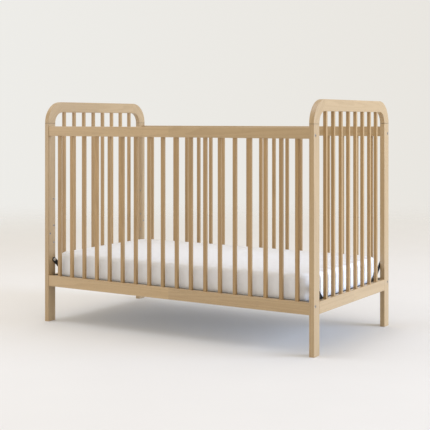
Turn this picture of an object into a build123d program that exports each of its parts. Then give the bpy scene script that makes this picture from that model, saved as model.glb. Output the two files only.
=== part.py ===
from build123d import *
import os

# A wooden baby crib: two arched end frames, two slatted sides bolted between them,
# a steel mattress support hung on four straps, and a mattress.
# Millimetres, +Z up. The origin is on the floor, under the middle of the crib.
# +X runs along the length and the front is the -Y side.

# Overall size
LENGTH = 1374.0
WIDTH = 748.0
HEIGHT = 1005.0

# Boards of the end frames and the side rails
BOARD_THICKNESS = 22.0
POST_WIDTH = 48.0
ARCH_RADIUS = 98.0
EDGE_ROUND = 2.0
JOINT_BEVEL = 0.6
LOW_RAIL_BOTTOM = 162.0
LOW_RAIL_HEIGHT = 49.0
SIDE_RAIL_TOP = 893.0
SIDE_RAIL_HEIGHT = 44.0
SIDE_SET_BACK = 2.0

# Slats
END_SLAT_WIDTH = 13.0
END_SLAT_DEPTH = 14.0
SIDE_SLAT_WIDTH = 15.0
SIDE_SLAT_DEPTH = 13.0
SLAT_ROUND = 1.2
END_SLAT_COUNT = 8
END_SLAT_PITCH = 72.0
SIDE_SLAT_COUNT = 18
SIDE_SLAT_PITCH = 71.5
MORTISE_DEPTH = 12.0

# Bolts and barrel nuts that hold the side rails
BOLT_DIAMETER = 6.0
BOLT_HEAD_DIAMETER = 12.0
BOLT_HEAD_HEIGHT = 3.0
BOLT_HEAD_SUNK = 0.5
BOLT_LENGTH = 62.0
BOLT_SOCKET_RADIUS = 2.3
BOLT_SOCKET_DEPTH = 2.0
BOLT_CLEARANCE = 0.4
NUT_DIAMETER = 10.0
NUT_LENGTH = 16.0
NUT_SETBACK = 32.0
NUT_SLOT_WIDTH = 1.2
NUT_SLOT_DEPTH = 1.5
TOP_BOLT_HEIGHT = 862.0
LOW_BOLT_HEIGHT = 197.0

# Wooden dowels
RAIL_DOWEL_DIAMETER = 8.0
RAIL_DOWEL_IN_POST = 14.0
RAIL_DOWEL_IN_RAIL = 24.0
TOP_DOWEL_HEIGHT = 882.0
LOW_DOWEL_HEIGHT = 176.0
FRAME_DOWEL_DIAMETER = 8.0
FRAME_DOWEL_HALF = 16.0
FRAME_DOWEL_SPREAD = 12.0
END_RAIL_DOWEL_DIAMETER = 8.0
END_RAIL_DOWEL_IN_POST = 24.0
END_RAIL_DOWEL_IN_RAIL = 30.0
END_RAIL_DOWEL_RISE = 12.0

# Threaded inserts in the inner faces of the posts
INSERT_DIAMETER = 9.0
INSERT_BORE = 6.0
INSERT_LENGTH = 13.0
INSERT_BORE_DEPTH = 17.0
SUPPORT_HEIGHTS = (281.0, 359.0, 437.0, 559.0)
SUPPORT_INSET = 37.0
GUARD_INSET = 12.0
GUARD_HEIGHT = 401.0

# Steel mattress support at its lowest height
SUPPORT_GAP = 0.3
SUPPORT_SIDE_GAP = 4.0
STRAP_THICKNESS = 3.0
STRAP_WIDTH = 20.0
STRAP_RUN = 91.0
STRAP_DROP = 82.0
STRAP_BOLT_HEAD = 13.0
STRAP_BOLT_HEAD_HEIGHT = 3.5
RIVET_DIAMETER = 5.0
RIVET_HEAD_DIAMETER = 9.0
RIVET_HEAD_HEIGHT = 1.6
RIVET_SPACING = 14.0
ANGLE_TOP = 211.0
ANGLE_LEG = 25.0
ANGLE_THICKNESS = 2.0
WIRE_DIAMETER = 3.0
SPRING_DIAMETER = 9.0
LONG_WIRE_COUNT = 7
LONG_WIRE_PITCH = 88.0
LONG_WIRE_HALF = 600.0
LONG_WIRE_HEIGHT = 193.0
CROSS_WIRE_COUNT = 11
CROSS_WIRE_PITCH = 112.0
CROSS_WIRE_HALF = 290.0
SPRING_LENGTH = 44.0

# Mattress
MATTRESS_LENGTH = 1308.0
MATTRESS_WIDTH = 684.0
MATTRESS_TOP = 313.0
MATTRESS_CORNER = 60.0
MATTRESS_EDGE = 16.0
MATTRESS_GAP = 0.3

# Positions worked out from the sizes above
POST_X = (LENGTH - BOARD_THICKNESS) / 2
POST_Y = (WIDTH - POST_WIDTH) / 2
INNER_X = LENGTH / 2 - BOARD_THICKNESS
INNER_Y = WIDTH / 2 - POST_WIDTH
ARCH_Y = WIDTH / 2 - ARCH_RADIUS
POST_TOP = HEIGHT - ARCH_RADIUS
TOP_RAIL_BOTTOM = HEIGHT - POST_WIDTH
LOW_RAIL_TOP = LOW_RAIL_BOTTOM + LOW_RAIL_HEIGHT
SIDE_Y = WIDTH / 2 - SIDE_SET_BACK - BOARD_THICKNESS / 2
SIDE_RAIL_BOTTOM = SIDE_RAIL_TOP - SIDE_RAIL_HEIGHT
SIDE_INNER_Y = SIDE_Y - BOARD_THICKNESS / 2
STRAP_OUTER_X = INNER_X - SUPPORT_GAP
ANGLE_X = STRAP_OUTER_X - STRAP_THICKNESS
ANGLE_Y = SIDE_INNER_Y - SUPPORT_SIDE_GAP
ANGLE_BOTTOM = ANGLE_TOP - ANGLE_LEG
SUPPORT_Y = WIDTH / 2 - SUPPORT_INSET
CROSS_WIRE_HEIGHT = LONG_WIRE_HEIGHT + WIRE_DIAMETER
MATTRESS_BOTTOM = CROSS_WIRE_HEIGHT + SPRING_DIAMETER / 2 + MATTRESS_GAP

ENDS = {"left": -1, "right": 1}
SIDES = {"front": -1, "back": 1}


def spread(count, pitch):
    """Even stations either side of zero."""
    return [(i - (count - 1) / 2) * pitch for i in range(count)]


def bar_x(start, end, y, z, depth, height, edge):
    """Round-edged bar along X; y and z give the middle of its section."""
    bar = extrude(RectangleRounded(height, depth, edge), end - start)
    return Pos(start, y, z) * Rot(0, 90, 0) * bar


def bar_y(start, end, x, z, depth, height, edge):
    """Round-edged bar along Y; x and z give the middle of its section."""
    bar = extrude(RectangleRounded(depth, height, edge), end - start)
    return Pos(x, start, z) * Rot(-90, 0, 0) * bar


def bar_z(start, end, x, y, depth, width, edge):
    """Round-edged bar standing along Z; x and y give the middle of its section."""
    return Pos(x, y, start) * extrude(RectangleRounded(depth, width, edge), end - start)


def rod_x(start, end, y, z, diameter):
    """Round rod along X between two stations given in either order."""
    middle = (start + end) / 2
    return Pos(middle, y, z) * Rot(0, 90, 0) * Cylinder(diameter / 2, abs(end - start))


def rod_y(start, end, x, z, diameter):
    """Round rod along Y between two stations given in either order."""
    middle = (start + end) / 2
    return Pos(x, middle, z) * Rot(90, 0, 0) * Cylinder(diameter / 2, abs(end - start))


def rod_z(start, end, x, y, diameter):
    """Round rod along Z between two stations given in either order."""
    middle = (start + end) / 2
    return Pos(x, y, middle) * Cylinder(diameter / 2, abs(end - start))


def bevel_end(body, axis, last):
    """Break the edges of the first or last end face of a board along an axis."""
    face = body.faces().sort_by(axis)[-1 if last else 0]
    return chamfer(face.edges(), JOINT_BEVEL)


def cut(body, tools):
    """Take every tool out of the body."""
    for tool in tools:
        body -= tool
    return body


def solids_of(shape):
    """The separate solids of a shape."""
    return list(shape.solids())


def save(name, shape):
    """Write one node: one solid, or a group of separate solids."""
    pieces = []
    for item in shape if isinstance(shape, list) else [shape]:
        pieces += solids_of(item)
    body = pieces[0] if len(pieces) == 1 else Compound(children=pieces)
    body.label = name
    export_step(body, f"parts/{name}.step")


def slat_stations():
    """Positions along Y of the end slats and along X of the side slats."""
    return spread(END_SLAT_COUNT, END_SLAT_PITCH), spread(SIDE_SLAT_COUNT, SIDE_SLAT_PITCH)


def end_slat(end, y):
    """One upright slat of an end frame, let into the rails above and below."""
    return bar_z(LOW_RAIL_TOP - MORTISE_DEPTH, TOP_RAIL_BOTTOM + MORTISE_DEPTH,
                 end * POST_X, y, END_SLAT_DEPTH, END_SLAT_WIDTH, SLAT_ROUND)


def side_slat(side, x):
    """One upright slat of a side, let into the rails above and below."""
    return bar_z(LOW_RAIL_TOP - MORTISE_DEPTH, SIDE_RAIL_BOTTOM + MORTISE_DEPTH,
                 x, side * SIDE_Y, SIDE_SLAT_WIDTH, SIDE_SLAT_DEPTH, SLAT_ROUND)


def rail_bolt(end, side, z):
    """Flat-headed bolt through a post into a rail, its head sunk in the post."""
    head_top = end * (LENGTH / 2 - BOLT_HEAD_SUNK)
    head_bottom = head_top - end * BOLT_HEAD_HEIGHT
    y = side * SIDE_Y
    bolt = rod_x(head_top, head_bottom, y, z, BOLT_HEAD_DIAMETER)
    bolt += rod_x(head_bottom, head_top - end * BOLT_LENGTH, y, z, BOLT_DIAMETER)
    socket = extrude(RegularPolygon(BOLT_SOCKET_RADIUS, 6), BOLT_SOCKET_DEPTH, both=True)
    return bolt - Pos(head_top, y, z) * Rot(0, 90, 0) * socket


def rail_bolt_hole(end, side, z):
    """Clearance hole for a rail bolt, with the seat for its head."""
    face = end * LENGTH / 2
    seat = face - end * (BOLT_HEAD_SUNK + BOLT_HEAD_HEIGHT)
    y = side * SIDE_Y
    hole = rod_x(face, seat, y, z, BOLT_HEAD_DIAMETER + 2 * BOLT_CLEARANCE)
    deep = face - end * (BOLT_LENGTH + 2 * BOLT_HEAD_HEIGHT)
    return hole + rod_x(face, deep, y, z, BOLT_DIAMETER + BOLT_CLEARANCE)


def barrel_nut(end, side, z):
    """Cross nut let into a rail from its inner face, slotted on that face."""
    x = end * (INNER_X - NUT_SETBACK)
    inner = side * (SIDE_Y - NUT_LENGTH / 2)
    nut = rod_y(inner, side * (SIDE_Y + NUT_LENGTH / 2), x, z, NUT_DIAMETER)
    nut -= rod_x(x - NUT_DIAMETER, x + NUT_DIAMETER, side * SIDE_Y, z, BOLT_DIAMETER)
    slot = Box(NUT_DIAMETER, 2 * NUT_SLOT_DEPTH, NUT_SLOT_WIDTH)
    return nut - Pos(x, inner, z) * slot


def barrel_nut_hole(end, side, z):
    """Hole in a rail for a cross nut."""
    x = end * (INNER_X - NUT_SETBACK)
    return rod_y(side * SIDE_INNER_Y, side * (SIDE_Y + NUT_LENGTH / 2), x, z, NUT_DIAMETER)


def rail_dowel(end, side, z):
    """Wooden dowel between a post and the end of a side rail."""
    return rod_x(end * (INNER_X + RAIL_DOWEL_IN_POST), end * (INNER_X - RAIL_DOWEL_IN_RAIL),
                 side * SIDE_Y, z, RAIL_DOWEL_DIAMETER)


def arch_dowels(end, side):
    """Wooden dowels that join a corner piece to its post and to the top rail."""
    dowels = []
    for shift in (-FRAME_DOWEL_SPREAD, FRAME_DOWEL_SPREAD):
        dowels.append(rod_z(POST_TOP - FRAME_DOWEL_HALF, POST_TOP + FRAME_DOWEL_HALF,
                            end * POST_X, side * (POST_Y + shift), FRAME_DOWEL_DIAMETER))
        dowels.append(rod_y(side * (ARCH_Y - FRAME_DOWEL_HALF), side * (ARCH_Y + FRAME_DOWEL_HALF),
                            end * POST_X, HEIGHT - POST_WIDTH / 2 + shift, FRAME_DOWEL_DIAMETER))
    return dowels


def end_rail_dowels(end, side):
    """Wooden dowels that join a low end rail to its post."""
    middle = (LOW_RAIL_BOTTOM + LOW_RAIL_TOP) / 2
    return [rod_y(side * (INNER_Y - END_RAIL_DOWEL_IN_RAIL), side * (INNER_Y + END_RAIL_DOWEL_IN_POST),
                  end * POST_X, middle + rise, END_RAIL_DOWEL_DIAMETER)
            for rise in (-END_RAIL_DOWEL_RISE, END_RAIL_DOWEL_RISE)]


def insert_places(side):
    """Distance along Y and height of every threaded insert of one post."""
    places = [(side * SUPPORT_Y, z) for z in SUPPORT_HEIGHTS]
    return places + [(side * (WIDTH / 2 - GUARD_INSET), GUARD_HEIGHT)]


def threaded_insert(end, y, z):
    """Steel insert flush with the inner face of a post."""
    face = end * INNER_X
    sleeve = rod_x(face, face + end * INSERT_LENGTH, y, z, INSERT_DIAMETER)
    return sleeve - rod_x(face, face + end * INSERT_LENGTH, y, z, INSERT_BORE)


def insert_hole(end, y, z):
    """Stepped hole in a post for a threaded insert."""
    face = end * INNER_X
    wide = rod_x(face, face + end * INSERT_LENGTH, y, z, INSERT_DIAMETER)
    return wide + rod_x(face, face + end * INSERT_BORE_DEPTH, y, z, INSERT_BORE)


def post(end, side):
    """One post of an end frame, with all its holes."""
    body = bar_z(0, POST_TOP, end * POST_X, side * POST_Y, BOARD_THICKNESS, POST_WIDTH, EDGE_ROUND)
    body = bevel_end(bevel_end(body, Axis.Z, False), Axis.Z, True)
    tools = [rail_bolt_hole(end, side, z) for z in (TOP_BOLT_HEIGHT, LOW_BOLT_HEIGHT)]
    tools += [rail_dowel(end, side, z) for z in (TOP_DOWEL_HEIGHT, LOW_DOWEL_HEIGHT)]
    tools += [insert_hole(end, y, z) for y, z in insert_places(side)]
    return cut(body, tools + arch_dowels(end, side) + end_rail_dowels(end, side))


def corner_piece(end, side):
    """Quarter-round piece between a post and the top rail of an end frame."""
    section = Pos(end * POST_X, side * POST_Y, POST_TOP) * RectangleRounded(
        BOARD_THICKNESS, POST_WIDTH, EDGE_ROUND)
    hinge = Axis((0, side * ARCH_Y, POST_TOP), (side, 0, 0))
    body = bevel_end(revolve(section, hinge, 90), Axis.Z, False)
    return cut(body, arch_dowels(end, side))


def end_top_rail(end):
    """Straight top rail of an end frame, mortised for the slats."""
    rail = bar_y(-ARCH_Y, ARCH_Y, end * POST_X, HEIGHT - POST_WIDTH / 2,
                 BOARD_THICKNESS, POST_WIDTH, EDGE_ROUND)
    slats = [end_slat(end, y) for y in slat_stations()[0]]
    return cut(rail, slats + arch_dowels(end, -1) + arch_dowels(end, 1))


def end_low_rail(end):
    """Low rail of an end frame, mortised for the slats."""
    rail = bar_y(-INNER_Y, INNER_Y, end * POST_X, LOW_RAIL_BOTTOM + LOW_RAIL_HEIGHT / 2,
                 BOARD_THICKNESS, LOW_RAIL_HEIGHT, EDGE_ROUND)
    slats = [end_slat(end, y) for y in slat_stations()[0]]
    return cut(rail, slats + end_rail_dowels(end, -1) + end_rail_dowels(end, 1))


def side_rail(side, bottom, height, bolt_z, dowel_z):
    """One long rail of a side, mortised for the slats and bored at both ends."""
    rail = bar_x(-INNER_X, INNER_X, side * SIDE_Y, bottom + height / 2,
                 BOARD_THICKNESS, height, EDGE_ROUND)
    rail = bevel_end(bevel_end(rail, Axis.X, False), Axis.X, True)
    tools = [side_slat(side, x) for x in slat_stations()[1]]
    for end in ENDS.values():
        tools += [rail_bolt_hole(end, side, bolt_z), barrel_nut_hole(end, side, bolt_z),
                  rail_dowel(end, side, dowel_z)]
    return cut(rail, tools)


def support_strap(end, side):
    """Steel strap that hangs the mattress support from a post."""
    slope = (STRAP_RUN ** 2 + STRAP_DROP ** 2) ** 0.5
    run, drop = STRAP_RUN / slope, STRAP_DROP / slope
    ends = [(side * SUPPORT_Y, SUPPORT_HEIGHTS[0]),
            (side * (SUPPORT_Y - STRAP_RUN), SUPPORT_HEIGHTS[0] - STRAP_DROP)]
    outline = make_hull([edge for y, z in ends
                         for edge in (Pos(y, z) * Circle(STRAP_WIDTH / 2)).edges()])
    face = Plane(origin=(0, 0, 0), x_dir=(0, 1, 0), z_dir=(1, 0, 0)) * outline
    strap = Pos(end * (ANGLE_X + STRAP_THICKNESS / 2), 0, 0) * extrude(
        face, STRAP_THICKNESS / 2, both=True)
    bolt = rod_x(0, end * INNER_X, ends[0][0], ends[0][1], BOLT_DIAMETER)
    rivets = []
    for step in (0, RIVET_SPACING):
        y = side * (SUPPORT_Y - STRAP_RUN + step * run)
        rivets.append((y, SUPPORT_HEIGHTS[0] - STRAP_DROP + step * drop))
    holes = [bolt] + [rod_x(0, end * INNER_X, y, z, RIVET_DIAMETER) for y, z in rivets]
    return cut(strap, holes), rivets


def strap_bolt(end, side):
    """Bolt head and the part of its shank that lies inside the strap."""
    y, z = side * SUPPORT_Y, SUPPORT_HEIGHTS[0]
    bolt = rod_x(end * ANGLE_X, end * (ANGLE_X - STRAP_BOLT_HEAD_HEIGHT), y, z, STRAP_BOLT_HEAD)
    bolt += rod_x(end * ANGLE_X, end * STRAP_OUTER_X, y, z, BOLT_DIAMETER)
    socket = extrude(RegularPolygon(BOLT_SOCKET_RADIUS, 6), BOLT_SOCKET_DEPTH, both=True)
    return bolt - Pos(end * (ANGLE_X - STRAP_BOLT_HEAD_HEIGHT), y, z) * Rot(0, 90, 0) * socket


def strap_rivet(end, y, z):
    """Rivet through a strap and the end angle, with its head on the inside."""
    inner = end * (ANGLE_X - ANGLE_THICKNESS)
    rivet = rod_x(inner, end * STRAP_OUTER_X, y, z, RIVET_DIAMETER)
    return rivet + rod_x(inner, inner - end * RIVET_HEAD_HEIGHT, y, z, RIVET_HEAD_DIAMETER)


def long_angle(side):
    """Steel angle along the front or back of the mattress support."""
    upright = Pos(0, side * (ANGLE_Y - ANGLE_THICKNESS / 2), ANGLE_TOP - ANGLE_LEG / 2) * Box(
        2 * ANGLE_X, ANGLE_THICKNESS, ANGLE_LEG)
    flat = Pos(0, side * (ANGLE_Y - ANGLE_LEG / 2), ANGLE_BOTTOM + ANGLE_THICKNESS / 2) * Box(
        2 * ANGLE_X, ANGLE_LEG, ANGLE_THICKNESS)
    return upright + flat


def end_angle(end, rivets):
    """Steel angle across one end of the mattress support, notched over the long ones."""
    inside = 2 * (ANGLE_Y - ANGLE_THICKNESS)
    upright = Pos(end * (ANGLE_X - ANGLE_THICKNESS / 2), 0, ANGLE_TOP - ANGLE_LEG / 2) * Box(
        ANGLE_THICKNESS, inside, ANGLE_LEG)
    flat = Pos(end * (ANGLE_X - ANGLE_LEG / 2), 0, ANGLE_BOTTOM + ANGLE_THICKNESS / 2) * Box(
        ANGLE_LEG, inside, ANGLE_THICKNESS)
    holes = [rod_x(end * (ANGLE_X - ANGLE_LEG), end * INNER_X, y, z, RIVET_DIAMETER)
             for y, z in rivets]
    return cut(upright + flat, [long_angle(-1), long_angle(1)] + holes)


def end_spring(end, y):
    """Spring and hook between one end of a long wire and the end angle."""
    start = end * LONG_WIRE_HALF
    coil_end = start + end * SPRING_LENGTH
    coil = rod_x(start, coil_end, y, LONG_WIRE_HEIGHT, SPRING_DIAMETER)
    return coil + rod_x(coil_end, end * (ANGLE_X - ANGLE_THICKNESS), y, LONG_WIRE_HEIGHT, WIRE_DIAMETER)


def side_spring(side, x):
    """Spring and hook between one end of a cross wire and the long angle."""
    start = side * CROSS_WIRE_HALF
    coil_end = start + side * SPRING_LENGTH
    coil = rod_y(start, coil_end, x, CROSS_WIRE_HEIGHT, SPRING_DIAMETER)
    return coil + rod_y(coil_end, side * (ANGLE_Y - ANGLE_THICKNESS), x, CROSS_WIRE_HEIGHT, WIRE_DIAMETER)


def mattress():
    """Mattress block with rounded corners and softened edges."""
    height = MATTRESS_TOP - MATTRESS_BOTTOM
    body = extrude(RectangleRounded(MATTRESS_LENGTH, MATTRESS_WIDTH, MATTRESS_CORNER), height)
    rims = body.faces().sort_by(Axis.Z)[0].edges() + body.faces().sort_by(Axis.Z)[-1].edges()
    return Pos(0, 0, MATTRESS_BOTTOM) * fillet(rims, MATTRESS_EDGE)


def save_end_frames():
    """Posts, corner pieces, rails, slats and dowels of the two end frames."""
    for end_name, end in ENDS.items():
        for side_name, side in SIDES.items():
            save(f"{end_name}_{side_name}_post", post(end, side))
            save(f"{end_name}_{side_name}_corner", corner_piece(end, side))
        save(f"{end_name}_top_rail", end_top_rail(end))
        save(f"{end_name}_low_rail", end_low_rail(end))
        for number, y in enumerate(slat_stations()[0], start=1):
            save(f"{end_name}_slat_{number}", end_slat(end, y))
    corners = [(end, side) for end in ENDS.values() for side in SIDES.values()]
    save("corner_dowels", [dowel for end, side in corners for dowel in arch_dowels(end, side)])
    save("low_rail_dowels", [dowel for end, side in corners for dowel in end_rail_dowels(end, side)])
    save("threaded_inserts", [threaded_insert(end, y, z) for end, side in corners
                              for y, z in insert_places(side)])


def save_sides():
    """Rails and slats of the front and back, with the bolts, nuts and dowels."""
    for side_name, side in SIDES.items():
        save(f"{side_name}_top_rail", side_rail(side, SIDE_RAIL_BOTTOM, SIDE_RAIL_HEIGHT,
                                                TOP_BOLT_HEIGHT, TOP_DOWEL_HEIGHT))
        save(f"{side_name}_low_rail", side_rail(side, LOW_RAIL_BOTTOM, LOW_RAIL_HEIGHT,
                                                LOW_BOLT_HEIGHT, LOW_DOWEL_HEIGHT))
        save(f"{side_name}_slats", [side_slat(side, x) for x in slat_stations()[1]])
    corners = [(end, side) for end in ENDS.values() for side in SIDES.values()]
    bolts = [(end, side, z) for end, side in corners for z in (TOP_BOLT_HEIGHT, LOW_BOLT_HEIGHT)]
    dowels = [(end, side, z) for end, side in corners for z in (TOP_DOWEL_HEIGHT, LOW_DOWEL_HEIGHT)]
    save("rail_bolts", [rail_bolt(*place) for place in bolts])
    save("barrel_nuts", [barrel_nut(*place) for place in bolts])
    save("rail_dowels", [rail_dowel(*place) for place in dowels])


def save_mattress_support():
    """Straps, bolts, rivets, angles, wires and springs of the mattress support."""
    bolts, all_rivets = [], []
    for end_name, end in ENDS.items():
        end_rivets = []
        for side_name, side in SIDES.items():
            strap, rivets = support_strap(end, side)
            save(f"{end_name}_{side_name}_strap", strap)
            bolts.append(strap_bolt(end, side))
            end_rivets += rivets
        all_rivets += [strap_rivet(end, y, z) for y, z in end_rivets]
        save(f"support_{end_name}_angle", end_angle(end, end_rivets))
    for side_name, side in SIDES.items():
        save(f"support_{side_name}_angle", long_angle(side))
    save("strap_bolts", bolts)
    save("strap_rivets", all_rivets)
    long_places = spread(LONG_WIRE_COUNT, LONG_WIRE_PITCH)
    cross_places = spread(CROSS_WIRE_COUNT, CROSS_WIRE_PITCH)
    save("long_wires", [rod_x(-LONG_WIRE_HALF, LONG_WIRE_HALF, y, LONG_WIRE_HEIGHT, WIRE_DIAMETER)
                        for y in long_places])
    save("cross_wires", [rod_y(-CROSS_WIRE_HALF, CROSS_WIRE_HALF, x, CROSS_WIRE_HEIGHT, WIRE_DIAMETER)
                         for x in cross_places])
    save("end_springs", [end_spring(end, y) for end in ENDS.values() for y in long_places])
    save("side_springs", [side_spring(side, x) for side in SIDES.values() for x in cross_places])


os.makedirs("parts", exist_ok=True)
save_end_frames()
save_sides()
save_mattress_support()
save("mattress", mattress())
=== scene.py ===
"""A wooden baby crib: finishes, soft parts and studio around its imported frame."""
import logging
import math
from dataclasses import dataclass, field
from enum import Enum
from typing import Any

import bmesh
import bpy
from mathutils import Matrix, Vector, noise


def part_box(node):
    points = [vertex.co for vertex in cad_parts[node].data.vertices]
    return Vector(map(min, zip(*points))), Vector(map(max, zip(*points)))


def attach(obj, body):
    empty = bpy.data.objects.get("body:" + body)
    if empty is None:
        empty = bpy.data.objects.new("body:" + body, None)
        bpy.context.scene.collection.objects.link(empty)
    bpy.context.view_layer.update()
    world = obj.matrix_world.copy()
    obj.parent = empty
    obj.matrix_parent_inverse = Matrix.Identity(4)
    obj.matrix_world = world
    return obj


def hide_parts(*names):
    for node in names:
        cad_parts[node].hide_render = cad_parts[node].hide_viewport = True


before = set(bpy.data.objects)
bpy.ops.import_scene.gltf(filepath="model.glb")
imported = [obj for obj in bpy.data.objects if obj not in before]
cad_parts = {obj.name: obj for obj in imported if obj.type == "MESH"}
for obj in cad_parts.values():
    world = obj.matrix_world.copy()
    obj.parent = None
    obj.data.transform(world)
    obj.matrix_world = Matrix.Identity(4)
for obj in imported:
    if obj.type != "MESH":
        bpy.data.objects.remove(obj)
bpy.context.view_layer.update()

MM = 0.001
JOINT_HEIGHT_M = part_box("left_front_post")[1][2]
WAVE_PERIOD_M = 0.314  # the band spacing of a wave texture at scale one
ONE_BOARD_MM = 1000.0  # a pitch wide enough to hold a whole board
RAIL_PITCH_MM = 500.0  # tells the top rails from the low ones
END_SLAT_PITCH_MM = 72.0
SIDE_SLAT_PITCH_MM = 71.5
MERGE_MM = 0.001  # points nearer than this are one point
CUT_MM = 0.02  # points nearer than this to a cut lie on it
LEVEL_MM = 0.1  # points nearer than this to a level belong to it
LAMP_AIM = Vector((0.0, 0.0, 0.45))
COLOUR_MIX = {"data_type": "RGBA", "blend_type": "MIX"}
SMOOTH_STEP = {"interpolation_type": "SMOOTHSTEP"}
log = logging.getLogger("crib")

Sockets = dict[str | int, Any]
END_SLAT_STOCK = {"early_wood": "#B49466", "late_wood": "#94774B", "coat": 0.3}
SIDE_SLAT_STOCK = {"early_wood": "#AE8F62", "late_wood": "#8E7147", "coat": 0.3}


class Body(Enum):
    """The rigid bodies that new pieces ride on."""

    SUPPORT = "mattress_support"
    MATTRESS = "mattress"


class Grain(Enum):
    """Which way the fibres of a board run, and how its pattern is stretched along them."""

    ALONG_X = (0.045, 1.0, 1.0)
    ALONG_Y = (1.0, 0.045, 1.0)
    ALONG_Z = (1.0, 1.0, 0.045)


def linear(hex_colour: str) -> tuple[float, float, float, float]:
    """Turn an sRGB hex colour into linear light.

    Args:
        hex_colour: Six hex digits, with or without a leading hash.

    Returns:
        Linear red, green and blue, and an alpha of one.
    """
    digits = hex_colour.lstrip("#")
    channels = [int(digits[i:i + 2], 16) / 255 for i in (0, 2, 4)]
    red, green, blue = (c / 12.92 if c <= 0.04045 else ((c + 0.055) / 1.055) ** 2.4
                        for c in channels)
    return red, green, blue, 1.0


def add_node(tree: bpy.types.NodeTree, kind: str, settings: dict[str, Any] | None = None,
             sockets: Sockets | None = None) -> bpy.types.Node:
    """Add one node with its settings and its inputs.

    Args:
        tree: The node tree that gets the node.
        kind: The node's type name.
        settings: Properties of the node.
        sockets: Inputs by name or number; an output socket is linked, other values are set.

    Returns:
        The new node.
    """
    made = tree.nodes.new(kind)
    for key, value in (settings or {}).items():
        setattr(made, key, value)
    for key, value in (sockets or {}).items():
        if isinstance(value, bpy.types.NodeSocket):
            tree.links.new(value, made.inputs[key])
        else:
            made.inputs[key].default_value = value
    return made


def new_surface(name: str, shader: Sockets) -> tuple[bpy.types.Material, bpy.types.NodeTree,
                                                     bpy.types.Node]:
    """Make a material that holds one Principled shader.

    Args:
        name: The material's name.
        shader: Constant values for the shader's own sockets.

    Returns:
        The material, its node tree and the shader node.
    """
    material = bpy.data.materials.new(name)
    material.use_nodes = True
    tree = material.node_tree
    tree.nodes.clear()
    principled = add_node(tree, "ShaderNodeBsdfPrincipled", sockets=shader)
    add_node(tree, "ShaderNodeOutputMaterial", sockets={"Surface": principled.outputs[0]})
    return material, tree, principled


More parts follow.
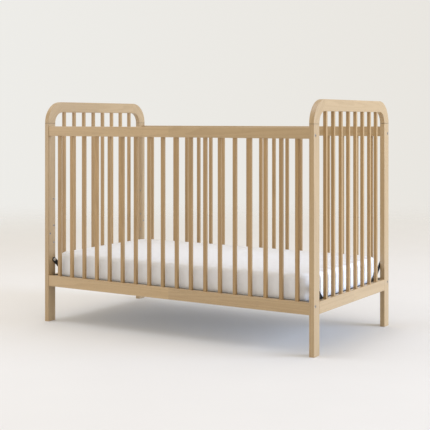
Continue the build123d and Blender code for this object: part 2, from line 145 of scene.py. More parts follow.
@dataclass(frozen=True)
class LacqueredAsh:
    """Planed and sanded ash under a clear satin lacquer.

    The eye sees pale tan boards with long soft growth lines, short fine pores, and a little
    gloss on the arrises. Each board differs a little in tone from the next. Real pores are
    0.2 mm wide; they are drawn wider so that they show.
    """

    name: str
    grain: Grain
    board_pitch_mm: tuple[float, float, float]
    turn_deg: tuple[float, float, float] = (0.0, 0.0, 0.0)
    early_wood: str = "#B99F77"
    late_wood: str = "#9E8258"
    pore: str = "#7F6545"
    glue_line: str = "#4A3822"
    coat: float = 0.85
    coat_roughness: float = 0.42
    joint_line_m: float = -1.0
    joint_line_edges_mm: tuple[float, float] = (0.6, 1.3)
    joint_line_strength: float = 0.8
    board_shift: tuple[float, float, float] = (7.3, 5.9, 6.7)
    board_tone: tuple[float, float] = (0.93, 1.07)
    ring_contrast: float = 0.6
    ring_width_mm: float = 9.0
    rings_in_noise: float = 11.0
    noise_in_ring_width: float = 0.16
    ring_profile: tuple[float, float, float] = (0.25, 0.92, 0.55)
    drift_width_mm: float = 45.45
    drift_strength: float = 0.34
    pore_width_mm: float = 0.7
    pore_levels: tuple[float, float] = (0.56, 0.72)
    pore_strength: float = 0.45
    roughness: tuple[float, float] = (0.36, 0.50)
    relief_mm: float = 0.06
    relief_strength: float = 0.35
    ring_relief: float = -0.35

    def build(self) -> bpy.types.Material:
        """Make the wood.

        Returns:
            The finished material.
        """
        material, tree, shader = new_surface(self.name, {
            "IOR": 1.5, "Coat Weight": self.coat, "Coat Roughness": self.coat_roughness})
        place = add_node(tree, "ShaderNodeTexCoord").outputs["Object"]
        board, tone = self._board_number(tree, place)
        turned = add_node(tree, "ShaderNodeMapping", sockets={
            "Vector": place, "Rotation": [math.radians(a) for a in self.turn_deg]})
        moved = add_node(tree, "ShaderNodeVectorMath", {"operation": "MULTIPLY_ADD"},
                         {0: board, 1: self.board_shift, 2: turned.outputs[0]})
        along = add_node(tree, "ShaderNodeVectorMath", {"operation": "MULTIPLY"},
                         {0: moved.outputs[0], 1: self.grain.value}).outputs[0]
        rings = self._rings(tree, along)
        drift = add_node(tree, "ShaderNodeTexNoise", sockets={
            "Vector": along, "Scale": 1.0 / (self.drift_width_mm * MM), "Detail": 3.0,
            "Roughness": 0.55}).outputs[0]
        pores = self._pores(tree, along)
        colour = self._colour(tree, rings, drift, tone, pores)
        if self.joint_line_m > 0.0:
            colour = self._joint_line(tree, place, colour)
        tree.links.new(colour, shader.inputs["Base Color"])
        rough = add_node(tree, "ShaderNodeMapRange", sockets={
            "Value": drift, "To Min": self.roughness[0], "To Max": self.roughness[1]})
        tree.links.new(rough.outputs[0], shader.inputs["Roughness"])
        relief = add_node(tree, "ShaderNodeMath", {"operation": "MULTIPLY_ADD"},
                          {0: rings, 1: self.ring_relief, 2: pores})
        bump = add_node(tree, "ShaderNodeBump", {"invert": True}, {
            "Strength": self.relief_strength, "Distance": self.relief_mm * MM,
            "Height": relief.outputs[0]})
        tree.links.new(bump.outputs[0], shader.inputs["Normal"])
        return material

    def _colour(self, tree: bpy.types.NodeTree, rings: bpy.types.NodeSocket,
                drift: bpy.types.NodeSocket, tone: bpy.types.NodeSocket,
                pores: bpy.types.NodeSocket) -> bpy.types.NodeSocket:
        """Lay the growth rings, the slow drift, the board's tone and the pores over each other.

        Args:
            tree: The material's node tree.
            rings: Zero in early wood, one in late wood.
            drift: A slow noise.
            tone: The board's random number.
            pores: One in a pore.

        Returns:
            The colour of the bare wood.
        """
        faint = add_node(tree, "ShaderNodeMapRange", sockets={
            "Value": rings, "To Min": 0.0, "To Max": self.ring_contrast})
        ringed = add_node(tree, "ShaderNodeMix", COLOUR_MIX, {
            0: faint.outputs[0], 6: linear(self.early_wood), 7: linear(self.late_wood)})
        slow = add_node(tree, "ShaderNodeMapRange", sockets={
            "Value": drift, "To Min": 0.0, "To Max": self.drift_strength})
        drifted = add_node(tree, "ShaderNodeMix", COLOUR_MIX, {
            0: slow.outputs[0], 6: ringed.outputs[2], 7: linear(self.late_wood)})
        shade = add_node(tree, "ShaderNodeMapRange", sockets={
            "Value": tone, "To Min": self.board_tone[0], "To Max": self.board_tone[1]})
        tinted = add_node(tree, "ShaderNodeHueSaturation", sockets={
            "Color": drifted.outputs[2], "Value": shade.outputs[0]})
        specks = add_node(tree, "ShaderNodeMapRange", sockets={
            "Value": pores, "To Min": 0.0, "To Max": self.pore_strength})
        return add_node(tree, "ShaderNodeMix", COLOUR_MIX, {
            0: specks.outputs[0], 6: tinted.outputs[0], 7: linear(self.pore)}).outputs[2]

    def _joint_line(self, tree: bpy.types.NodeTree, place: bpy.types.NodeSocket,
                    colour: bpy.types.NodeSocket) -> bpy.types.NodeSocket:
        """Darken the thin glue line where a corner piece stands on its post.

        Args:
            tree: The material's node tree.
            place: Object coordinates.
            colour: The colour of the wood.

        Returns:
            The colour with the line in it.
        """
        height = add_node(tree, "ShaderNodeSeparateXYZ", sockets={0: place}).outputs["Z"]
        above = add_node(tree, "ShaderNodeMath", {"operation": "SUBTRACT"},
                         {0: height, 1: self.joint_line_m})
        away = add_node(tree, "ShaderNodeMath", {"operation": "ABSOLUTE"}, {0: above.outputs[0]})
        inner, outer = self.joint_line_edges_mm
        line = add_node(tree, "ShaderNodeMapRange", sockets={
            "Value": away.outputs[0], "From Min": inner * MM, "From Max": outer * MM,
            "To Min": self.joint_line_strength, "To Max": 0.0})
        return add_node(tree, "ShaderNodeMix", COLOUR_MIX, {
            0: line.outputs[0], 6: colour, 7: linear(self.glue_line)}).outputs[2]

    def _board_number(self, tree: bpy.types.NodeTree, place: bpy.types.NodeSocket
                      ) -> tuple[bpy.types.NodeSocket, bpy.types.NodeSocket]:
        """Give every board its own random vector and tone.

        Args:
            tree: The material's node tree.
            place: Object coordinates.

        Returns:
            A random vector and a random number, constant over one board.
        """
        across = tuple(0.0 if stretch < 1.0 else 1.0 / (pitch * MM)
                       for stretch, pitch in zip(self.grain.value, self.board_pitch_mm))
        cells = add_node(tree, "ShaderNodeVectorMath", {"operation": "MULTIPLY"},
                         {0: place, 1: across})
        whole = add_node(tree, "ShaderNodeVectorMath", {"operation": "FLOOR"},
                         {0: cells.outputs[0]})
        lot = add_node(tree, "ShaderNodeTexWhiteNoise", {"noise_dimensions": "3D"},
                       {"Vector": whole.outputs[0]})
        return lot.outputs["Color"], lot.outputs["Value"]

    def _rings(self, tree: bpy.types.NodeTree, along: bpy.types.NodeSocket
               ) -> bpy.types.NodeSocket:
        """Growth rings: the level lines of a slow noise, sharp on their dark side.

        Args:
            tree: The material's node tree.
            along: Coordinates stretched along the grain.

        Returns:
            Zero in early wood, rising to one in late wood.
        """
        rise_from, crest, darkest = self.ring_profile
        slow = add_node(tree, "ShaderNodeTexNoise", sockets={
            "Vector": along, "Scale": self.noise_in_ring_width / (self.ring_width_mm * MM),
            "Detail": 1.5, "Roughness": 0.45})
        levels = add_node(tree, "ShaderNodeMath", {"operation": "MULTIPLY"},
                          {0: slow.outputs[0], 1: self.rings_in_noise})
        tooth = add_node(tree, "ShaderNodeMath", {"operation": "FRACT"}, {0: levels.outputs[0]})
        soft = add_node(tree, "ShaderNodeMapRange", SMOOTH_STEP, {
            "Value": tooth.outputs[0], "From Min": rise_from, "From Max": crest,
            "To Min": 0.0, "To Max": darkest})
        edge = add_node(tree, "ShaderNodeMapRange", SMOOTH_STEP, {
            "Value": tooth.outputs[0], "From Min": crest, "From Max": 1.0,
            "To Min": 1.0, "To Max": 0.0})
        return add_node(tree, "ShaderNodeMath", {"operation": "MULTIPLY"},
                        {0: soft.outputs[0], 1: edge.outputs[0]}).outputs[0]

    def _pores(self, tree: bpy.types.NodeTree, along: bpy.types.NodeSocket
               ) -> bpy.types.NodeSocket:
        """Scatter short fine pores along the grain.

        Args:
            tree: The material's node tree.
            along: Coordinates stretched along the grain.

        Returns:
            One in a pore and zero between pores.
        """
        fine = add_node(tree, "ShaderNodeTexNoise", sockets={
            "Vector": along, "Scale": 1.0 / (self.pore_width_mm * MM), "Detail": 2.0,
            "Roughness": 0.6})
        return add_node(tree, "ShaderNodeMapRange", sockets={
            "Value": fine.outputs[0], "From Min": self.pore_levels[0],
            "From Max": self.pore_levels[1]}).outputs[0]


@dataclass(frozen=True)
class Metal:
    """A plain or coated steel surface with a fine mottle.

    The eye sees an even finish whose gloss wanders slightly from spot to spot.
    """

    name: str
    light: str
    dark: str
    metallic: float
    roughness: tuple[float, float]
    mottle_mm: float
    grain_mm: float
    grain_depth_mm: float
    grain_strength: float = 0.5

    def build(self) -> bpy.types.Material:
        """Make the metal.

        Returns:
            The finished material.
        """
        material, tree, shader = new_surface(self.name, {"Metallic": self.metallic})
        place = add_node(tree, "ShaderNodeTexCoord").outputs["Object"]
        mottle = add_node(tree, "ShaderNodeTexNoise", sockets={
            "Vector": place, "Scale": 1.0 / (self.mottle_mm * MM), "Detail": 3.0}).outputs[0]
        colour = add_node(tree, "ShaderNodeMix", COLOUR_MIX, {
            0: mottle, 6: linear(self.light), 7: linear(self.dark)})
        tree.links.new(colour.outputs[2], shader.inputs["Base Color"])
        rough = add_node(tree, "ShaderNodeMapRange", sockets={
            "Value": mottle, "To Min": self.roughness[0], "To Max": self.roughness[1]})
        tree.links.new(rough.outputs[0], shader.inputs["Roughness"])
        skin = add_node(tree, "ShaderNodeTexNoise", sockets={
            "Vector": place, "Scale": 1.0 / (self.grain_mm * MM), "Detail": 2.0})
        bump = add_node(tree, "ShaderNodeBump", sockets={
            "Strength": self.grain_strength, "Distance": self.grain_depth_mm * MM,
            "Height": skin.outputs[0]})
        tree.links.new(bump.outputs[0], shader.inputs["Normal"])
        return material


@dataclass(frozen=True)
class CottonSheet:
    """A woven cotton fitted sheet.

    The eye sees soft white cloth with a close plain weave and a faint bloom at grazing angles.
    The real thread is 0.3 mm; it is drawn coarser so that it shows.
    """

    name: str = "white_cotton_plain_weave"
    white: str = "#EFF3F9"
    shade: str = "#E6EAF1"
    roughness: tuple[float, float] = (0.78, 0.94)
    thread_mm: float = 1.1
    thread_relief_mm: float = 0.12
    thread_strength: float = 0.35
    slub_mm: float = 22.2
    crease_mm: float = 35.7
    crease_relief_mm: float = 1.2
    crease_strength: float = 0.25

    def build(self) -> bpy.types.Material:
        """Make the cloth.

        Returns:
            The finished material.
        """
        material, tree, shader = new_surface(self.name, {
            "Sheen Weight": 0.25, "Sheen Roughness": 0.5, "IOR": 1.45,
            "Specular IOR Level": 0.25})
        place = add_node(tree, "ShaderNodeTexCoord").outputs["Object"]
        slub = add_node(tree, "ShaderNodeTexNoise", sockets={
            "Vector": place, "Scale": 1.0 / (self.slub_mm * MM), "Detail": 4.0}).outputs[0]
        colour = add_node(tree, "ShaderNodeMix", COLOUR_MIX, {
            0: slub, 6: linear(self.white), 7: linear(self.shade)})
        tree.links.new(colour.outputs[2], shader.inputs["Base Color"])
        rough = add_node(tree, "ShaderNodeMapRange", sockets={
            "Value": slub, "To Min": self.roughness[0], "To Max": self.roughness[1]})
        tree.links.new(rough.outputs[0], shader.inputs["Roughness"])
        weave = add_node(tree, "ShaderNodeBump", sockets={
            "Strength": self.thread_strength, "Distance": self.thread_relief_mm * MM,
            "Height": self._threads(tree, place)})
        crease = add_node(tree, "ShaderNodeTexNoise", sockets={
            "Vector": place, "Scale": 1.0 / (self.crease_mm * MM), "Detail": 3.0,
            "Distortion": 0.4})
        bump = add_node(tree, "ShaderNodeBump", sockets={
            "Strength": self.crease_strength, "Distance": self.crease_relief_mm * MM,
            "Height": crease.outputs[0], "Normal": weave.outputs[0]})
        tree.links.new(bump.outputs[0], shader.inputs["Normal"])
        return material

    def _threads(self, tree: bpy.types.NodeTree, place: bpy.types.NodeSocket
                 ) -> bpy.types.NodeSocket:
        """Cross three sets of threads, so that each face of the mattress shows two of them.

        Args:
            tree: The material's node tree.
            place: Object coordinates.

        Returns:
            The height of the weave.
        """
        waves = [add_node(tree, "ShaderNodeTexWave",
                          {"wave_type": "BANDS", "bands_direction": direction},
                          {"Vector": place, "Scale": WAVE_PERIOD_M / (self.thread_mm * MM),
                           "Distortion": 0.6, "Detail": 1.0, "Detail Scale": 0.3}).outputs[0]
                 for direction in ("X", "Y", "Z")]
        crossed = add_node(tree, "ShaderNodeMath", {"operation": "ADD"},
                           {0: waves[0], 1: waves[1]})
        return add_node(tree, "ShaderNodeMath", {"operation": "ADD"},
                        {0: crossed.outputs[0], 1: waves[2]}).outputs[0]


@dataclass(frozen=True)
class StudioFloor:
    """A rolled matt paint on the studio floor.

    The eye sees one pale tone that wanders a little and fades into the backdrop.
    """

    name: str = "painted_studio_floor"
    pale: str = "#E7E8E9"
    roughness: float = 0.7
    specular: float = 0.2
    patch_mm: float = 333.3
    patch_tone: tuple[float, float] = (0.985, 1.015)
    fade_m: tuple[float, float] = (2.2, 7.0)

    def build(self) -> bpy.types.Material:
        """Make the floor's paint.

        Returns:
            The finished material.
        """
        material, tree, shader = new_surface(self.name, {
            "Roughness": self.roughness, "Specular IOR Level": self.specular})
        place = add_node(tree, "ShaderNodeTexCoord").outputs["Object"]
        patch = add_node(tree, "ShaderNodeTexNoise", sockets={
            "Vector": place, "Scale": 1.0 / (self.patch_mm * MM), "Detail": 2.0})
        tone = add_node(tree, "ShaderNodeMapRange", sockets={
            "Value": patch.outputs[0], "To Min": self.patch_tone[0],
            "To Max": self.patch_tone[1]})
        paint = add_node(tree, "ShaderNodeHueSaturation", sockets={
            "Color": linear(self.pale), "Value": tone.outputs[0]})
        tree.links.new(paint.outputs[0], shader.inputs["Base Color"])
        reach = add_node(tree, "ShaderNodeVectorMath", {"operation": "LENGTH"}, {0: place})
        fade = add_node(tree, "ShaderNodeMapRange", SMOOTH_STEP, {
            "Value": reach.outputs["Value"], "From Min": self.fade_m[0],
            "From Max": self.fade_m[1], "To Min": 1.0, "To Max": 0.0})
        tree.links.new(fade.outputs[0], shader.inputs["Alpha"])
        return material


def dress(nodes: list[str], finish: bpy.types.Material) -> None:
    """Give CAD nodes their finish.

    Args:
        nodes: Names of the CAD nodes.
        finish: The material that each gets.
    """
    for name in nodes:
        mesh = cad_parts[name].data
        mesh.materials.clear()
        mesh.materials.append(finish)


def make_piece(name: str, shape: bmesh.types.BMesh, finish: bpy.types.Material, body: Body) -> bpy.types.Object:
    """Turn a bmesh into a finished, smooth-shaded piece that rides on a body.

    Args:
        name: The piece's name.
        shape: Its mesh, placed in the shared frame; it is freed here.
        finish: Its material.
        body: The body it rides on.

    Returns:
        The new object.
    """
    bmesh.ops.recalc_face_normals(shape, faces=shape.faces)
    mesh = bpy.data.meshes.new(name)
    shape.to_mesh(mesh)
    shape.free()
    for polygon in mesh.polygons:
        polygon.use_smooth = True
    mesh.materials.append(finish)
    piece = bpy.data.objects.new(name, mesh)
    bpy.context.scene.collection.objects.link(piece)
    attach(piece, body.value)
    return piece


def ash(name: str, grain: Grain, pitch_mm: tuple[float, float, float] = (ONE_BOARD_MM,) * 3,
        **changes: Any) -> LacqueredAsh:
    """Give a dataclass field its wood.

    Args:
        name: The material's name.
        grain: Which way its boards run.
        pitch_mm: How far apart the boards that share the material are.
        changes: Other fields of the finish.

    Returns:
        The field's default.
    """
    return field(default_factory=lambda: LacqueredAsh(name, grain, pitch_mm, **changes))


def steel(name: str, light: str, dark: str, metallic: float, roughness: tuple[float, float],
          **sizes_mm: float) -> Metal:
    """Give a dataclass field its metal.

    Args:
        name: The material's name.
        light: The lighter colour of its mottle.
        dark: The darker colour of its mottle.
        metallic: One for bare or plated metal, less under oil or a clear film, zero for a coat.
        roughness: The range of its roughness.
        sizes_mm: The sizes of its mottle and grain.

    Returns:
        The field's default.
    """
    return field(default_factory=lambda: Metal(name, light, dark, metallic, roughness,
                                               **sizes_mm))


@dataclass
class Finishes:
    """All materials of the crib."""

    # Wide planed boards: the growth lines run level along the rails.
    side_rails: LacqueredAsh = ash("lacquered_ash_side_rails", Grain.ALONG_X,
                                   (ONE_BOARD_MM, ONE_BOARD_MM, RAIL_PITCH_MM))
    end_rails: LacqueredAsh = ash("lacquered_ash_end_rails", Grain.ALONG_Y,
                                  (ONE_BOARD_MM, ONE_BOARD_MM, RAIL_PITCH_MM))
    # Upright grain, with a hairline of glue under each corner piece.
    posts: LacqueredAsh = ash("lacquered_ash_posts", Grain.ALONG_Z,
                              joint_line_m=JOINT_HEIGHT_M)
    # The grain of a bent corner runs at half a right angle, as in a piece sawn to the curve.
    front_corners: LacqueredAsh = ash("lacquered_ash_front_corners", Grain.ALONG_Z,
                                      turn_deg=(45.0, 0.0, 0.0), joint_line_m=JOINT_HEIGHT_M)
    back_corners: LacqueredAsh = ash("lacquered_ash_back_corners", Grain.ALONG_Z,
                                     turn_deg=(-45.0, 0.0, 0.0), joint_line_m=JOINT_HEIGHT_M)
    # Slats are coloured darker and browner than the rails and get less lacquer, so they look browner and drier;
    # the end slats are a little lighter than the side slats.
    end_slats: LacqueredAsh = ash("lacquered_ash_end_slats", Grain.ALONG_Z,
                                  (ONE_BOARD_MM, END_SLAT_PITCH_MM, ONE_BOARD_MM),
                                  **END_SLAT_STOCK)
    side_slats: LacqueredAsh = ash("lacquered_ash_side_slats", Grain.ALONG_Z,
                                   (SIDE_SLAT_PITCH_MM, ONE_BOARD_MM, ONE_BOARD_MM),
                                   **SIDE_SLAT_STOCK)
    # Turned beech, pale and pinkish, seen only where a joint is opened.
    dowels: LacqueredAsh = ash("turned_beech_dowels", Grain.ALONG_X,
                               (ONE_BOARD_MM, ONE_BOARD_MM, RAIL_PITCH_MM),
                               early_wood="#D9BC92", late_wood="#C7A578")
    # Bright zinc plate: light grey with a soft shine.
    zinc: Metal = steel("zinc_plated_steel", "#C3C4C4", "#A3A4A6", 1.0, (0.28, 0.42),
                        mottle_mm=4.0, grain_mm=0.5, grain_depth_mm=0.02)
    # Oiled steel: the sunk bolt heads look like small warm grey spots.
    bolt_steel: Metal = steel("oiled_bolt_steel", "#A8A29C", "#8E8882", 0.7, (0.36, 0.50),
                              mottle_mm=4.0, grain_mm=0.5, grain_depth_mm=0.02)
    # Satin nickel plate with a painted highlight: a pale, mostly non-metallic colour makes the strap bolts show
    # as nearly white dots, as a highlight would.
    nickel_with_painted_highlight: Metal = steel("nickel_steel_with_painted_highlight", "#E6E4E0", "#D2CFCA", 0.35,
                          (0.28, 0.40), mottle_mm=4.0, grain_mm=0.5, grain_depth_mm=0.01)
    # Baked powder coat: deep black with the faint ripple of orange peel.
    powder_coat: Metal = steel("black_powder_coated_steel", "#0E0E0F", "#08080A", 0.0,
                               (0.50, 0.62), mottle_mm=18.0, grain_mm=0.9,
                               grain_depth_mm=0.05)
    # Drawn spring wire, blackened: dark grey with a sharp thin highlight.
    wire: Metal = steel("black_drawn_spring_wire", "#26272A", "#17181A", 0.6, (0.30, 0.42),
                        mottle_mm=9.0, grain_mm=0.6, grain_depth_mm=0.02)
    sheet: CottonSheet = field(default_factory=CottonSheet)


@dataclass
class EndFrames:
    """The two arched end frames."""

    finishes: Finishes
    slat_count: int = 8

    def build(self) -> None:
        """Dress the posts, corner pieces, rails and slats."""
        posts = [f"{end}_{side}_post" for end in ("left", "right") for side in ("front", "back")]
        dress(posts, self.finishes.posts.build())
        dress([f"{end}_front_corner" for end in ("left", "right")],
              self.finishes.front_corners.build())
        dress([f"{end}_back_corner" for end in ("left", "right")],
              self.finishes.back_corners.build())
        dress([f"{end}_{height}_rail" for end in ("left", "right") for height in ("top", "low")],
              self.finishes.end_rails.build())
        dress([f"{end}_slat_{number}" for end in ("left", "right")
               for number in range(1, self.slat_count + 1)], self.finishes.end_slats.build())
        log.info("end frames dressed")


@dataclass
class SlattedSides:
    """The front and back, with the hardware and dowels of the wooden frame."""

    finishes: Finishes

    def build(self) -> None:
        """Dress the rails, slats, bolts, nuts, inserts and dowels."""
        dress([f"{side}_{height}_rail" for side in ("front", "back")
               for height in ("top", "low")], self.finishes.side_rails.build())
        dress(["front_slats", "back_slats"], self.finishes.side_slats.build())
        dress(["rail_dowels", "corner_dowels", "low_rail_dowels"],
              self.finishes.dowels.build())
        dress(["rail_bolts"], self.finishes.bolt_steel.build())
        dress(["barrel_nuts", "threaded_inserts"], self.finishes.zinc.build())
        log.info("sides dressed")


@dataclass
class MattressSupport:
    """The steel frame, straps, wires and springs under the mattress."""

    finishes: Finishes
    rod_gap_mm: float = 20.0
    wire_mm: float = 1.8
    coil_mm: float = 9.0
    coil_length_mm: float = 44.0
    turns: int = 13
    steps_per_turn: int = 12
    wire_sides: int = 6

    def build(self) -> None:
        """Dress the steel and hang real coils where the plain rods stand in."""
        dress([f"support_{place}_angle" for place in ("front", "back", "left", "right")]
              + [f"{end}_{side}_strap" for end in ("left", "right")
                 for side in ("front", "back")] + ["strap_rivets"],
              self.finishes.powder_coat.build())
        wire = self.finishes.wire.build()
        dress(["long_wires", "cross_wires", "end_springs", "side_springs"], wire)
        # The strap bolts' pale, barely metallic colour is a painted highlight.
        dress(["strap_bolts"], self.finishes.nickel_with_painted_highlight.build())
        self._hang("end_spring_coils", "end_springs", "X", wire)
        self._hang("side_spring_coils", "side_springs", "Y", wire)
        log.info("mattress support built")

    def _hang(self, name: str, node: str, direction: str, wire: bpy.types.Material) -> None:
        """Put a coil and hook at each place of a CAD node of plain rods.

        Args:
            name: The new piece's name.
            node: The CAD node that the coils replace.
            direction: "X" or "Y", the way the springs pull.
            wire: The springs' material.
        """
        quarter = 0.0 if direction == "X" else math.pi / 2
        places, reach = self._places(node, direction)
        spring = self._spring(reach)
        shape = bmesh.new()
        for start, outward in places:
            turn = quarter if outward > 0 else quarter + math.pi
            before = len(shape.verts)
            shape.from_mesh(spring)
            shape.verts.ensure_lookup_table()
            bmesh.ops.transform(
                shape, verts=shape.verts[before:],
                matrix=Matrix.Translation(start) @ Matrix.Rotation(turn, 4, "Z"))
        bpy.data.meshes.remove(spring)
        piece = make_piece(name, shape, wire, Body.SUPPORT)
        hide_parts(node)

    def _places(self, node: str, direction: str) -> tuple[list[tuple[Vector, int]], float]:
        """Find the inner end and the outward sense of each rod of a CAD node.

        Args:
            node: The CAD node.
            direction: "X" or "Y", the way the rods run.

        Returns:
            One point and one sign for each rod, and the length of a rod.
        """
        run, across = (0, 1) if direction == "X" else (1, 0)
        shape = bmesh.new()
        shape.from_mesh(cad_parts[node].data)
        bmesh.ops.remove_doubles(shape, verts=shape.verts, dist=MERGE_MM * MM)
        places, reach = [], 0.0
        for side in (-1, 1):
            points = sorted((v.co.copy() for v in shape.verts if v.co[run] * side > 0),
                            key=lambda point: point[across])
            rods = [[points[0]]]
            for point in points[1:]:
                if point[across] - rods[-1][-1][across] > self.rod_gap_mm * MM:
                    rods.append([])
                rods[-1].append(point)
            for rod in rods:
                middle = sum(rod, Vector((0.0, 0.0, 0.0))) / len(rod)
                ends = [point[run] for point in rod]
                middle[run] = min(ends) if side > 0 else max(ends)
                reach = max(ends) - min(ends)
                places.append((middle, side))
        shape.free()
        return places, reach

    def _spring(self, reach: float) -> bpy.types.Mesh:
        """Wind one coil along +X from the origin and add the straight wire of its hook.

        Args:
            reach: The length of the coil and its hook together, in metres.

        Returns:
            The spring's mesh.
        """
        shape = bmesh.new()
        radius = (self.coil_mm - self.wire_mm) / 2 * MM
        length = self.coil_length_mm * MM
        start = bmesh.ops.create_circle(
            shape, cap_ends=True, segments=self.wire_sides, radius=self.wire_mm / 2 * MM,
            matrix=Matrix.Translation((0, radius, 0)))
        steps = self.turns * self.steps_per_turn
        bmesh.ops.spin(
            shape, geom=start["verts"] + shape.edges[:], cent=(0, 0, 0), axis=(1, 0, 0),
            dvec=(length / steps, 0, 0), angle=2 * math.pi * self.turns, steps=steps,
            use_merge=False, use_normal_flip=False, use_duplicate=False)
        open_end = [edge for edge in shape.edges if edge.is_boundary]
        bmesh.ops.contextual_create(shape, geom=open_end)
        hook = reach - length
        bmesh.ops.create_cone(
            shape, cap_ends=True, segments=self.wire_sides, radius1=self.wire_mm / 2 * MM,
            radius2=self.wire_mm / 2 * MM, depth=hook,
            matrix=Matrix.Translation((length + hook / 2, 0, 0))
            @ Matrix.Rotation(math.pi / 2, 4, "Y"))
        spring = bpy.data.meshes.new("spring")
        shape.to_mesh(spring)
        shape.free()
        return spring


@dataclass(frozen=True)
class Swell:
    """How far cloth under pressure may blow the mattress cover up."""

    pressure: float = 4.0
    stretch_stiffness: float = 25.0
    bend_stiffness: float = 2.0
    frames: int = 20
    limit_mm: float = 5.0


@dataclass(frozen=True)
class Folds:
    """The soft upright folds in the sides of the cover, and the faint pulls in its top."""

    depth_mm: float = 2.6
    pitch_mm: float = 46.0
    fine_pitch_mm: float = 16.1
    wave_share: float = -1.3
    fine_share: float = 0.4
    lift_share: float = 0.25
    twist: float = 0.6
    side_slope: float = 1.4
    top_share: float = 0.25
    corner_reach_m: float = 0.22
    corner_gain: float = 0.8
    ends_shift_m: float = 3.0
    slack_mm: float = 1.2
    slack_per_m: float = 5.0
    wave_seed: float = 1.7
    fine_seed: float = 4.1
    slack_seed: float = 9.3


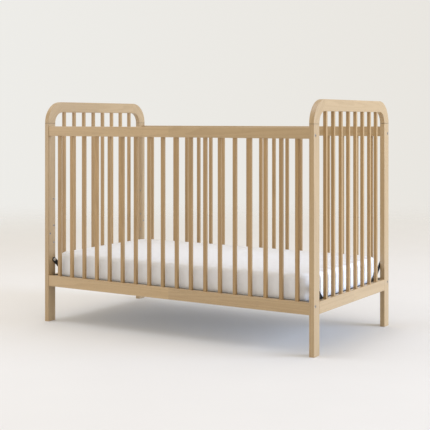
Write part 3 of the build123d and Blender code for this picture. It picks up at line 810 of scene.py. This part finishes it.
@dataclass
class Mattress:
    """The mattress in its fitted sheet, lying in the tray of the support."""

    finishes: Finishes
    swell: Swell = Swell()
    folds: Folds = Folds()
    corner_mm: float = 66.0
    corner_segments: int = 8
    top_rim_mm: float = 15.0
    low_rim_mm: float = 4.0
    rim_segments: int = 5
    voxel_mm: float = 10.0
    start_inset_mm: tuple[float, float, float] = (2.0, 2.0, 1.0)
    crown_mm: float = 3.0
    tray_depth_mm: float = 10.5
    lip_mm: float = 0.25
    tray_room_mm: tuple[float, float] = (3.2, 1.4)
    overhang_mm: tuple[float, float] = (7.3, 4.8)

    def build(self) -> None:
        """Shape the padded block, let it swell, lay folds in it, and press it into the tray."""
        low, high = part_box("mattress")
        grow = Vector((*self.overhang_mm, 0.0)) * MM
        inset = Vector(self.start_inset_mm) * MM
        piece = self._block(low + inset - grow, high - inset + grow)
        self._remesh(piece)
        self._swell(piece)
        smooth = piece.modifiers.new("smooth", "SUBSURF")
        smooth.levels = smooth.render_levels = 1
        self._apply(piece)
        self._fold(piece, low, high)
        self._press(piece, low, high)
        for polygon in piece.data.polygons:
            polygon.use_smooth = True
        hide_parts("mattress")
        log.info("mattress built")

    def _block(self, low: Vector, high: Vector) -> bpy.types.Object:
        """Make the rounded block between two corners.

        Args:
            low: The block's lowest corner.
            high: The block's highest corner.

        Returns:
            The block, riding on its body.
        """
        size, middle = high - low, (low + high) / 2
        shape = bmesh.new()
        bmesh.ops.create_cube(shape, size=1.0, matrix=Matrix.Translation(middle)
                              @ Matrix.Diagonal((*size, 1.0)))
        upright = [edge for edge in shape.edges
                   if abs(edge.verts[0].co.z - edge.verts[1].co.z) > size.z / 2]
        bmesh.ops.bevel(shape, geom=upright, offset=self.corner_mm * MM,
                        segments=self.corner_segments, affect="EDGES", profile=0.5, material=-1)
        for height, radius in ((high.z, self.top_rim_mm), (low.z, self.low_rim_mm)):
            rim = [edge for edge in shape.edges
                   if all(abs(vertex.co.z - height) < LEVEL_MM * MM for vertex in edge.verts)]
            bmesh.ops.bevel(shape, geom=rim, offset=radius * MM, segments=self.rim_segments,
                            affect="EDGES", profile=0.5, material=-1)
        return make_piece("mattress_in_fitted_sheet", shape, self.finishes.sheet.build(),
                          Body.MATTRESS)

    def _remesh(self, piece: bpy.types.Object) -> None:
        """Cover the piece with an even mesh.

        Args:
            piece: The mattress.
        """
        remesh = piece.modifiers.new("even", "REMESH")
        remesh.mode = "VOXEL"
        remesh.voxel_size = self.voxel_mm * MM
        self._apply(piece)

    @staticmethod
    def _apply(piece: bpy.types.Object) -> None:
        """Replace the piece's mesh by its evaluated one, and drop its modifiers.

        Args:
            piece: The mattress.
        """
        depsgraph = bpy.context.evaluated_depsgraph_get()
        finish = piece.data.materials[0]
        mesh = bpy.data.meshes.new_from_object(piece.evaluated_get(depsgraph))
        mesh.materials.clear()
        mesh.materials.append(finish)
        piece.modifiers.clear()
        piece.data = mesh

    def _swell(self, piece: bpy.types.Object) -> None:
        """Blow the cover up a little as cloth under pressure, and cap how far it moves.

        Args:
            piece: The mattress.
        """
        rest = [vertex.co.copy() for vertex in piece.data.vertices]
        cloth = piece.modifiers.new("swell", "CLOTH")
        cloth.settings.use_pressure = True
        cloth.settings.uniform_pressure_force = self.swell.pressure
        cloth.settings.effector_weights.gravity = 0.0
        cloth.settings.tension_stiffness = self.swell.stretch_stiffness
        cloth.settings.compression_stiffness = self.swell.stretch_stiffness
        cloth.settings.bending_stiffness = self.swell.bend_stiffness
        cloth.point_cache.frame_end = self.swell.frames
        scene = bpy.context.scene
        for number in range(1, self.swell.frames + 1):
            scene.frame_set(number)
        self._apply(piece)
        scene.frame_set(1)
        limit = self.swell.limit_mm * MM
        for vertex, start in zip(piece.data.vertices, rest):
            move = vertex.co - start
            if move.length > limit:
                vertex.co = start + move.normalized() * limit

    def _fold(self, piece: bpy.types.Object, low: Vector, high: Vector) -> None:
        """Press soft upright folds into the sides and faint pulls into the top.

        Args:
            piece: The mattress.
            low: The lowest corner of its CAD box.
            high: The highest corner of its CAD box.
        """
        folds, half = self.folds, (high - low) / 2
        normals = [vertex.normal.copy() for vertex in piece.data.vertices]
        for vertex, normal in zip(piece.data.vertices, normals):
            x, y, z = vertex.co
            depth = (high.z - z) / (high.z - low.z)
            side = max(0.0, 1.0 - abs(normal.z) * folds.side_slope)
            around = x if abs(normal.y) > abs(normal.x) else y + folds.ends_shift_m
            wave = noise.noise(Vector((
                around / (folds.pitch_mm * MM), depth * folds.twist, folds.wave_seed)))
            fine = noise.noise(Vector((
                around / (folds.fine_pitch_mm * MM), depth, folds.fine_seed)))
            inward = (half.x - abs(x)) + (half.y - abs(y))
            corner = max(0.0, 1.0 - inward / folds.corner_reach_m)
            strength = (side * (folds.top_share + (1.0 - folds.top_share) * depth)
                        * (1.0 + folds.corner_gain * corner))
            push = strength * folds.depth_mm * MM * (
                folds.wave_share * abs(wave) + folds.lift_share + folds.fine_share * fine)
            slack = noise.noise(Vector((
                x * folds.slack_per_m, y * folds.slack_per_m, folds.slack_seed)))
            push += (1.0 - side) * folds.slack_mm * MM * slack
            vertex.co += normal * push

    def _press(self, piece: bpy.types.Object, low: Vector, high: Vector) -> None:
        """Keep the cover inside the steel tray, and let it lap over the angles above it.

        Args:
            piece: The mattress.
            low: The lowest corner of its CAD box.
            high: The highest corner of its CAD box.
        """
        crown = high.z + self.crown_mm * MM
        edge = low.z + self.tray_depth_mm * MM
        shape = bmesh.new()
        shape.from_mesh(piece.data)
        for height in (edge - self.lip_mm * MM, edge):
            bmesh.ops.bisect_plane(
                shape, geom=shape.verts[:] + shape.edges[:] + shape.faces[:],
                dist=CUT_MM * MM, plane_co=(0.0, 0.0, height), plane_no=(0.0, 0.0, 1.0))
        for vertex in shape.verts:
            above = vertex.co.z > edge - self.lip_mm * MM / 2
            for axis, room in enumerate(self.overhang_mm if above else self.tray_room_mm):
                limit = high[axis] + room * MM
                vertex.co[axis] = min(max(vertex.co[axis], -limit), limit)
            vertex.co.z = min(max(vertex.co.z, low.z), crown)
        shape.to_mesh(piece.data)
        shape.free()


@dataclass(frozen=True)
class Lamp:
    """A square soft light that faces the crib."""

    name: str
    place_m: tuple[float, float, float]
    size_m: float
    power_w: float
    colour: str

    def build(self) -> None:
        """Hang the light."""
        light = bpy.data.lights.new(self.name, "AREA")
        light.shape, light.size, light.energy = "SQUARE", self.size_m, self.power_w
        light.color = linear(self.colour)[:3]
        lamp = bpy.data.objects.new(self.name, light)
        lamp.location = self.place_m
        aim = LAMP_AIM - Vector(self.place_m)
        lamp.rotation_euler = aim.to_track_quat("-Z", "Y").to_euler()
        bpy.context.scene.collection.objects.link(lamp)


@dataclass
class Studio:
    """Camera, floor, surround and lamps."""

    camera_at: tuple[float, float, float] = (2.4657, -3.9398, 0.9234)
    azimuth_deg: float = 32.04
    lens_mm: float = 85.67
    sensor_mm: float = 36.0
    shift_y: float = -0.2216
    floor_radius_m: float = 9.0
    floor_segments: int = 96
    sky: str = "#EEEDE9"
    far_sky: str = "#E9E6E0"
    warm_room: str = "#EFE4D4"
    gradient_way: tuple[float, float, float] = (0.85, 0.53, 0.0)
    gradient_reach: float = 0.25
    lamps: tuple[Lamp, ...] = (
        Lamp("key", (8.0, 2.4, 2.3), 4.6, 627.0, "#C7DDFF"),
        Lamp("side", (5.4, 0.6, 0.9), 1.8, 24.0, "#FFF4E6"),
        Lamp("fill", (-2.8, -2.0, 0.8), 1.6, 12.0, "#F5F7FC"),
        Lamp("top", (-1.0, -0.8, 3.6), 2.2, 34.0, "#DFEBFD"))

    def build(self) -> None:
        """Set up the view and the light."""
        camera = bpy.data.cameras.new("camera")
        camera.lens, camera.sensor_width = self.lens_mm, self.sensor_mm
        camera.shift_y = self.shift_y
        viewer = bpy.data.objects.new("camera", camera)
        viewer.location = self.camera_at
        viewer.rotation_euler = (math.pi / 2, 0.0, math.radians(self.azimuth_deg))
        bpy.context.scene.collection.objects.link(viewer)
        bpy.context.scene.camera = viewer
        self._floor()
        self._surround()
        for lamp in self.lamps:
            lamp.build()
        bpy.context.scene.view_settings.view_transform = "Standard"
        log.info("studio built")

    def _floor(self) -> None:
        """Lay the round floor."""
        shape = bmesh.new()
        bmesh.ops.create_circle(shape, cap_ends=True, segments=self.floor_segments,
                                radius=self.floor_radius_m)
        mesh = bpy.data.meshes.new("floor")
        shape.to_mesh(mesh)
        shape.free()
        mesh.materials.append(StudioFloor().build())
        floor = bpy.data.objects.new("floor", mesh)
        bpy.context.scene.collection.objects.link(floor)

    def _surround(self) -> None:
        """Light the crib evenly from a warm room, and show a pale backdrop behind it."""
        world = bpy.data.worlds.new("surround")
        world.use_nodes = True
        bpy.context.scene.world = world
        tree = world.node_tree
        tree.nodes.clear()
        way = add_node(tree, "ShaderNodeTexCoord").outputs["Generated"]
        across = add_node(tree, "ShaderNodeVectorMath", {"operation": "DOT_PRODUCT"},
                          {0: way, 1: self.gradient_way})
        drift = add_node(tree, "ShaderNodeMapRange", sockets={
            "Value": across.outputs["Value"], "From Min": -self.gradient_reach,
            "From Max": self.gradient_reach})
        wall = add_node(tree, "ShaderNodeMix", COLOUR_MIX, {
            0: drift.outputs[0], 6: linear(self.sky), 7: linear(self.far_sky)})
        seen = add_node(tree, "ShaderNodeLightPath").outputs["Is Camera Ray"]
        light = add_node(tree, "ShaderNodeMix", COLOUR_MIX, {
            0: seen, 6: linear(self.warm_room), 7: wall.outputs[2]})
        glow = add_node(tree, "ShaderNodeBackground", sockets={
            "Color": light.outputs[2], "Strength": 1.0})
        add_node(tree, "ShaderNodeOutputWorld", sockets={"Surface": glow.outputs[0]})


def main() -> None:
    """Build the crib's looks in order."""
    logging.basicConfig(level=logging.INFO, format="%(name)s: %(message)s")
    finishes = Finishes()
    for part in (Studio(), EndFrames(finishes), SlattedSides(finishes),
                 MattressSupport(finishes), Mattress(finishes)):
        part.build()


if __name__ == "__main__":
    main()
